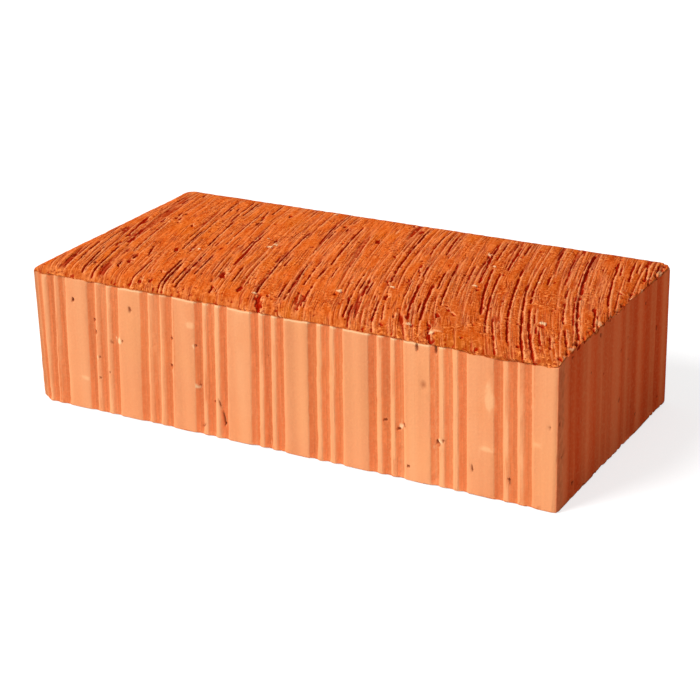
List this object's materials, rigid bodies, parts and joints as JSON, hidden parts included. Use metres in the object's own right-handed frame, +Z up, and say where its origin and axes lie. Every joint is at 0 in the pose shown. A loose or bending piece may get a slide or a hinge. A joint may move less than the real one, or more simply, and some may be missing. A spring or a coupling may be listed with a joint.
{
  "type": "grooved solid clay brick",
  "caption": "Solid fired clay building brick, wire cut beds, groups of keying grooves up all four sides.",
  "frame": {"origin": "middle of the lower bed", "axes": "+X along the length, from the left end to the right end seen from the front; +Y across the width, from the front side to the back side; +Z up through the height, from the lower bed to the upper bed"},
  "size_m": [0.25, 0.12, 0.065],
  "materials": {
    "fired_clay": "matte, bare fired clay: orange wire cut beds, paler extruded sides"
  },
  "bodies": {
    "root": {"brick": "fired_clay"}
  },
  "joints": []
}
